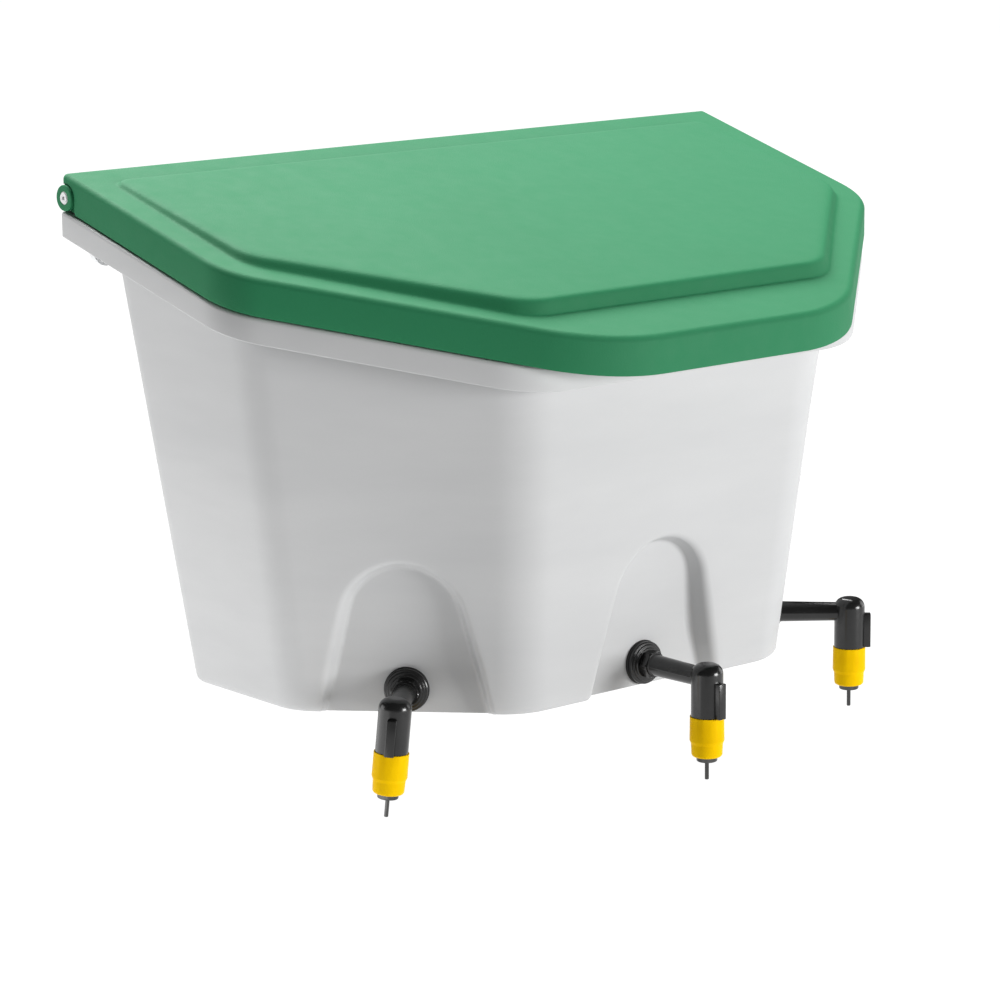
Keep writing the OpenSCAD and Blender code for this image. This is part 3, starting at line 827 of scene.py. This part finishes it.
def arm():
    """flanged pipe with a threaded shank, and the elbow with its rib and spigot"""
    inner_end = NUT_A - 3
    profile = [(WATER_R, inner_end), (4.2, inner_end)]
    for j in range(5):
        z = NUT_A - 2.6 + 1.2 * j
        profile += [(SHANK_R, z), (SHANK_R, z + 0.4), (ROOT_R, z + 0.7), (ROOT_R, z + 0.9)]
    profile += [(SHANK_R, NUT_A + 3.6), (SHANK_R, 1.5)]
    flange = [(10.15, 1.5, 0.2), (10.4, 1.9, 0.3), (10.4, 3.2, 0.35), (9.9, 3.6, 0.3), (9.0, 3.6, 0.25),
              (8.9, 4.5, 0.3), (7.6, 4.5, 0.3), (7.3, 5.1, 0.2)]
    neck = [(5.6, 5.1), (5.6, 9.3, 0.3), (5.15, 10.5, 0.8), (SHANK_R, REACH)]
    profile += rounded([(SHANK_R, 1.5)] + flange + neck + [(WATER_R, REACH)], 4)[1:]
    pipe = lathe("pipe", profile + [(WATER_R, inner_end)], 120, ALONG, radial=seam)

    top = -1.0
    ring_r, ring_low, ring_high = 5.1, -22.3, -20.9     # the O-ring's groove
    profile = [(0, top), (DROP_R, top), (DROP_R, SPIGOT_END), (SPIGOT_R - 0.5, SPIGOT_END),
               (SPIGOT_R, SPIGOT_END + 0.5), (SPIGOT_R, ring_low), (ring_r, ring_low), (ring_r, ring_high),
               (SPIGOT_R, ring_high), (SPIGOT_R, ELBOW_END), (ELBOW_R - 0.25, ELBOW_END),
               (ELBOW_R, ELBOW_END + 0.25)]
    dome = rounded([(ELBOW_R, ELBOW_END), (ELBOW_R, DOME_TOP, DOME_R), (0, DOME_TOP)], 14)
    elbow = lathe("elbow", profile + dome[1:], 96, shift(0, -REACH, 0))
    rib_y = (-REACH - RIB_OUT, -REACH - ELBOW_R + 2.3)  # its rear is sunk into the elbow
    rib = block("rib", (-RIB_W / 2, RIB_W / 2), rib_y, (ELBOW_END, top), bevel=0.45)
    cut(elbow, [rib], "UNION")
    cut(pipe, [hexagon("collar", apothem=6.0, z0=5.0, z1=9.6, m=ALONG)], "UNION")
    cut(elbow, [pipe], "UNION")
    shade(elbow, crease=24)
    return elbow


def cap():
    """yellow cap with eight flats on its wide part"""
    flat, flats_end = CAP_R - 0.16, -29.2
    inside = SPIGOT_R - 0.05
    top = (SPIGOT_R + 0.04, ELBOW_END)

    def radial(a, r, z):
        if z < flats_end or r < 7:
            return r
        off = (a + math.pi / 8) % (math.pi / 4) - math.pi / 8
        return min(r, flat / math.cos(off))

    profile = rounded([top, (CAP_R, ELBOW_END, 0.25), (CAP_R, -29.9, 1.0), (7.6, -31.6, 1.2),
                       (CAP_NECK_R, CAP_END, 1.5), (CAP_MOUTH_R, CAP_END, 0.3), (CAP_MOUTH_R, -28),
                       (inside, -28), top], 6)
    return lathe("cap", profile, 144, shift(0, -REACH, 0), radial=radial, crease=24)


def seat_ring():
    """steel seat in the cap's mouth"""
    profile = rounded([(1.3, -25.8), (6.1, -25.8), (6.1, -28), (5, -28), (5, -40.3, 0.7), (3.1, -40.3, 0.15),
                       (1.9, -39.1), (1.9, -36.5), (3.6, -36.5), (3.6, -31), (1.3, -31), (1.3, -25.8)], 5)
    return lathe("seat", profile, 72, shift(0, -REACH, 0))


def trigger():
    """pin with the head that rocks on the seat"""
    head_r, pin_r, head_z, end = 3.0, 1.0, -36.5, -49.3
    profile = rounded([(0, -35), (head_r, -35, 0.4), (head_r, head_z, 0.2), (pin_r, head_z, 0.25),
                       (pin_r, end, 0.35), (0, end)], 5)
    return lathe("trigger", profile, 48, shift(0, -REACH, 0))


def gasket():
    """outer gasket between an arm's flange and the tank"""
    r, t = 10.75, 1.5
    profile = rounded([(BORE_R, 0), (r, 0, 0.3), (r, t, 0.45), (BORE_R, t), (BORE_R, 0)], 4)
    return lathe("gasket", profile, 96, ALONG)


def taken(ob):
    """the object's mesh; the object is removed"""
    me = ob.data
    bpy.data.objects.remove(ob)
    return me


def placed(name, me, m):
    """object with its own copy of the mesh, moved by m"""
    ob = linked(name, me.copy())
    ob.data.transform(m)
    return ob


# ------------------------------------------------------------------ pins, tabs and wall buffers
TIE_X, TIE_Z, TIE_W, TIE_T = HALF_W - 20.8, RIM_Z - 7.7, 15.0, 4.0


def hinge_pin():
    """pin with a stepped head that has a blind hole in it"""
    start, end = HALF_W - 13.4, HALF_W - 0.6
    head_r, head_end, hole_r, hole_end = 2.6, end + 0.5, 0.95, end - 2.4
    profile = rounded([(0, start), (PIN_R, start, 0.4), (PIN_R, end, 0.25), (head_r, end),
                       (head_r, head_end, 0.3), (hole_r, head_end, 0.25), (hole_r, hole_end),
                       (0, hole_end)], 5)
    return lathe("pin", profile, 64, on_hinge())


def tie_tab():
    """tab with a round lower end and a hole for a tie, under the rim's rear corner"""
    r = TIE_W / 2
    top = RIM_TOP - WALL - FALL * (WALL + TIE_T) - 0.2
    angles = [-math.pi * k / 24 for k in range(25)]
    outline = [(TIE_X + r * math.cos(a), TIE_Z + r * math.sin(a)) for a in angles]
    outline += [(TIE_X - r, top), (TIE_X + r, top)]
    ob = prism("tab", outline, 0, TIE_T, 0.35, shift(0, -WALL, 0) @ ALONG)
    cut(ob, [bore(shift(TIE_X, -WALL, TIE_Z) @ ALONG, 2.6, -1, TIE_T + 1)])
    shade(ob, crease=32)
    return ob


def buffer_pad():
    """rubber buffer against the wall, with a stem in the foot's socket"""
    stem_end = 12.5
    profile = rounded([(0, 0), (8.2, 0, 0.8), (9.2, BUFFER_T, 0.4), (BUFFER_STEM_R, BUFFER_T),
                       (BUFFER_STEM_R, stem_end, 0.4), (0, stem_end)], 5)
    return lathe("buffer", profile, 64, shift(FOOT_X, WALL_GAP, FOOT_Z) @ ALONG)


# ------------------------------------------------------------------ materials
EVEN = (1, 1, 1)


def noise(tree, coords, scale, detail, rough, stretch=EVEN):
    """soft noise over the object, finer along an axis whose stretch is larger"""
    mapping = tree.nodes.new("ShaderNodeMapping")
    mapping.inputs["Scale"].default_value = stretch
    tree.links.new(coords.outputs["Object"], mapping.inputs["Vector"])
    texture = tree.nodes.new("ShaderNodeTexNoise")
    texture.inputs["Scale"].default_value = scale
    texture.inputs["Detail"].default_value = detail
    texture.inputs["Roughness"].default_value = rough
    tree.links.new(mapping.outputs["Vector"], texture.inputs["Vector"])
    return texture.outputs["Fac"]


def spread(tree, source, low, high):
    """the middle of a noise's range stretched to low..high"""
    ramp = tree.nodes.new("ShaderNodeMapRange")
    for key, value in (("From Min", 0.3), ("From Max", 0.7), ("To Min", low), ("To Max", high)):
        ramp.inputs[key].default_value = value
    tree.links.new(source, ramp.inputs["Value"])
    return ramp.outputs["Result"]


def mixed(tree, share, first, second):
    """mix of two colours, each a tuple or a node's output"""
    mix = tree.nodes.new("ShaderNodeMix")
    mix.data_type = "RGBA"
    factor, colours, result = 0, (6, 7), 2      # sockets of the node's colour mode
    tree.links.new(share, mix.inputs[factor])
    for socket, colour in zip(colours, (first, second)):
        if isinstance(colour, tuple):
            mix.inputs[socket].default_value = (*colour, 1.0)
        else:
            tree.links.new(colour, mix.inputs[socket])
    return mix.outputs[result]


def bumped(tree, height, strength, distance, over=None):
    """normal with a bump, laid over another one where it is given"""
    bump = tree.nodes.new("ShaderNodeBump")
    bump.inputs["Strength"].default_value = strength
    bump.inputs["Distance"].default_value = distance
    tree.links.new(height, bump.inputs["Height"])
    if over:
        tree.links.new(over, bump.inputs["Normal"])
    return bump.outputs["Normal"]


def material(name, dark, light, rough, scale, stretch=EVEN, grain=(900.0, 0.12, 2e-5), metal=0.0, spec=0.5,
             waves=None):
    """two close colours mixed by soft noise, uneven roughness and a fine bump

    grain is the fine bump's noise scale, strength and distance in metres; waves, for a broad bump
    under it, is the same and a stretch
    """
    mat = bpy.data.materials.new(name)
    mat.use_nodes = True
    tree = mat.node_tree
    bsdf = tree.nodes["Principled BSDF"]
    coords = tree.nodes.new("ShaderNodeTexCoord")
    cloud = noise(tree, coords, scale, 4.0, 0.55, stretch)
    speck = noise(tree, coords, grain[0], 2.0, 0.5)
    wear = noise(tree, coords, scale * 6, 3.0, 0.6, stretch)
    colour = mixed(tree, spread(tree, cloud, 0.0, 1.0), dark, light)
    colour = mixed(tree, spread(tree, speck, 0.0, 0.25), colour, dark)
    tree.links.new(colour, bsdf.inputs["Base Color"])
    tree.links.new(spread(tree, wear, *rough), bsdf.inputs["Roughness"])
    under = None
    if waves:
        broad = noise(tree, coords, waves[0], 2.0, 0.5, waves[3])
        under = bumped(tree, broad, waves[1], waves[2])
    normal = bumped(tree, spread(tree, speck, 0.0, 1.0), grain[1], grain[2], under)
    tree.links.new(normal, bsdf.inputs["Normal"])
    bsdf.inputs["Metallic"].default_value = metal
    bsdf.inputs["Specular IOR Level"].default_value = spec
    return mat


LOOKS = {
    "tank": material("tank_polymer", (0.46, 0.464, 0.468), (0.50, 0.503, 0.505), (0.46, 0.56), 9.0, (1, 1, 4),
                     grain=(1100.0, 0.16, 2e-5), spec=0.3, waves=(6.0, 0.25, 8e-4, (0.7, 0.7, 7))),
    "lid": material("lid_green", (0.0120, 0.164, 0.065), (0.0130, 0.172, 0.069), (0.70, 0.76), 16.0,
                    grain=(1300.0, 0.75, 6e-5), spec=0.3),
    "pin": material("pin_white", (0.70, 0.71, 0.72), (0.78, 0.785, 0.79), (0.38, 0.5), 90.0),
    "arm": material("arm_black", (0.006, 0.006, 0.006), (0.011, 0.011, 0.011), (0.18, 0.26), 120.0,
                    grain=(2200.0, 0.04, 1e-5)),
    "cap": material("cap_yellow", (0.74, 0.44, 0.0008), (0.82, 0.51, 0.0012), (0.26, 0.36), 110.0,
                    grain=(1800.0, 0.04, 1e-5), spec=0.02),
    # the steel's colour is darkened far below real steel's: a painted dark reflection, standing in for dark
    # surroundings for it to mirror
    "steel": material("steel_turned", (0.055, 0.055, 0.055), (0.12, 0.12, 0.118), (0.16, 0.28), 260.0,
                      (1, 1, 0.15), grain=(2600.0, 0.10, 1e-5), metal=1.0),
    "rubber": material("rubber_black", (0.012, 0.012, 0.012), (0.024, 0.023, 0.022), (0.62, 0.78), 150.0,
                       grain=(1600.0, 0.3, 3e-5), spec=0.35),
    "bracket": material("bracket_zinc", (0.40, 0.41, 0.42), (0.58, 0.59, 0.60), (0.30, 0.46), 130.0,
                        metal=0.9),
}
SLOT_OF = {part["node"]: part.get("material_slot") for part in frame["record"]["subparts"]}


def dress(ob, name, look, body, node):
    """gives a piece its name, place, look and body, in place of the CAD node"""
    ob.name = name
    ob.data.name = name
    to_world(ob)
    ob.data.materials.clear()
    ob.data.materials.append(LOOKS[look])
    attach(ob, body)
    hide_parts(node)


# ------------------------------------------------------------------ floor, world and lights
# The floor and lights are in metres, in the shared frame.
FLOOR = world((0, 0, -62))[2]
FLOOR_HALF = 9.0
DIM_SPOT = (-0.75, -1.0, FLOOR) # the floor's light on the part is dim round here, to the front left
SPOT_NEAR, SPOT_FAR = 0.25, 0.85        # distances over which it grows from SPOT_GLOW to full
SPOT_GLOW = 0.06
WHITE_FLOOR, WHITE_SKY = 1.02, 1.05     # strengths that the camera sees
DIM_SKY = 0.1                   # strength of the sky's light on the part


def stage_floor():
    """white floor that lights the part softly from below, least round the dim spot"""
    corners = [(x * FLOOR_HALF, y * FLOOR_HALF, FLOOR) for x, y in ((-1, -1), (1, -1), (1, 1), (-1, 1))]
    me = bpy.data.meshes.new("floor")
    me.from_pydata(corners, [], [(0, 1, 2, 3)])
    ob = linked("floor", me)
    mat = bpy.data.materials.new("floor")
    mat.use_nodes = True
    tree = mat.node_tree
    tree.nodes.clear()
    where = tree.nodes.new("ShaderNodeTexCoord")
    far = tree.nodes.new("ShaderNodeVectorMath")
    far.operation = "DISTANCE"
    far.inputs[1].default_value = DIM_SPOT
    tree.links.new(where.outputs["Object"], far.inputs[0])
    fade = tree.nodes.new("ShaderNodeMapRange")
    fade.interpolation_type = "SMOOTHSTEP"
    for key, value in (("From Min", SPOT_NEAR), ("From Max", SPOT_FAR), ("To Min", SPOT_GLOW),
                       ("To Max", 1.0)):
        fade.inputs[key].default_value = value
    tree.links.new(far.outputs["Value"], fade.inputs["Value"])
    path = tree.nodes.new("ShaderNodeLightPath")
    level = tree.nodes.new("ShaderNodeMix")
    level.data_type = "FLOAT"
    level.inputs["B"].default_value = WHITE_FLOOR
    tree.links.new(path.outputs["Is Camera Ray"], level.inputs["Factor"])
    tree.links.new(fade.outputs["Result"], level.inputs["A"])
    glow = tree.nodes.new("ShaderNodeEmission")
    tree.links.new(level.outputs["Result"], glow.inputs["Strength"])
    soft = tree.nodes.new("ShaderNodeBsdfDiffuse")
    soft.inputs["Color"].default_value = (0.04, 0.04, 0.04, 1)
    add = tree.nodes.new("ShaderNodeAddShader")
    tree.links.new(glow.outputs[0], add.inputs[0])
    tree.links.new(soft.outputs[0], add.inputs[1])
    out = tree.nodes.new("ShaderNodeOutputMaterial")
    tree.links.new(add.outputs[0], out.inputs[0])
    me.materials.append(mat)


def set_world():
    """white behind the part, and a dim even light on it"""
    sky = bpy.data.worlds.new("world")
    bpy.context.scene.world = sky
    sky.use_nodes = True
    tree = sky.node_tree
    background = tree.nodes["Background"]
    path = tree.nodes.new("ShaderNodeLightPath")
    level = tree.nodes.new("ShaderNodeMapRange")
    level.inputs["To Min"].default_value = DIM_SKY
    level.inputs["To Max"].default_value = WHITE_SKY
    tree.links.new(path.outputs["Is Camera Ray"], level.inputs["Value"])
    tree.links.new(level.outputs["Result"], background.inputs["Strength"])
    background.inputs["Color"].default_value = (1, 1, 1, 1)


def area(name, az, el, distance, size, power, target):
    """square light at this azimuth and elevation from its target, turned to it"""
    a, e = math.radians(az), math.radians(el)
    back = Vector((math.sin(a) * math.cos(e), -math.cos(a) * math.cos(e), math.sin(e)))
    light = bpy.data.lights.new(name, "AREA")
    light.shape = "RECTANGLE"
    light.size = light.size_y = size
    light.energy = power
    ob = linked(name, light)
    ob.location = Vector(target) + back * distance
    ob.rotation_mode = "QUATERNION"
    ob.rotation_quaternion = back.to_track_quat("Z", "Y")
    return ob


def add_lights():
    """soft lights, each placed from the point that it shines at"""
    area("key", 23, 3, distance=2.2, size=0.9, power=57, target=(0, -0.12, -0.15))
    area("right", 78, 8, distance=1.5, size=0.9, power=5, target=(0, -0.12, -0.1))
    area("left", -135, 4, distance=1.5, size=0.9, power=6, target=(0, -0.12, -0.15))
    area("rear_top", 170, 58, distance=3.0, size=2.4, power=262, target=(0, -0.12, -0.06))
    # close over the floor beside the tank's left end, shining up
    low = (-0.44, 0.02, FLOOR + 0.07)
    bounce = area("bounce", -90, -89, distance=0.06, size=0.5, power=0.9, target=low)
    bounce.visible_camera = False


def build_all():
    """the pieces that take the place of CAD nodes, and looks for the nodes that stay"""
    tank = build_tank()
    finish_tank(tank)
    dress(tank, "tank_shell", "tank", "body", "tank")
    dress(build_lid(), "lid_shell", "lid", "lid", "lid")
    dress(join("pins", pair(hinge_pin)), "pin_pair", "pin", "body", "hinge_pins")
    dress(join("tabs", pair(tie_tab)), "tab_pair", "pin", "body", "tie_tabs")
    dress(join("buffers", pair(buffer_pad)), "buffer_pair", "rubber", "body", "wall_buffers")
    # name, mesh, look, body and CAD node; the arm's side is added to the name, the body and the node
    fittings = (("elbow", taken(arm()), "arm", "arm", "arm"), ("collar", taken(cap()), "cap", "arm", "cap"),
                ("ring", taken(seat_ring()), "steel", "arm", "seat"),
                ("pin", taken(trigger()), "steel", "trigger", "trigger"))
    washer = taken(gasket())
    gaskets = []
    for side in SEATS:
        m = seat_matrix(side, LEAN[side])
        for name, me, look, body, node in fittings:
            piece = f"{name}_{side}"
            dress(placed(piece, me, m), piece, look, f"{body}_{side}", f"{node}_{side}")
        gaskets.append(placed("gasket", washer, seat_matrix(side)))
    dress(join("gaskets", gaskets), "gasket_trio", "rubber", "body", "gaskets_out")
    # the CAD nodes that no piece replaces
    for name, ob in frame["nodes"].items():
        if not ob.hide_render:
            ob.data.materials.clear()
            ob.data.materials.append(LOOKS[SLOT_OF[name]])


add_camera()
build_all()
stage_floor()
set_world()
add_lights()
scene = bpy.context.scene
scene.view_settings.view_transform = "Standard"
scene.view_settings.look = "None"
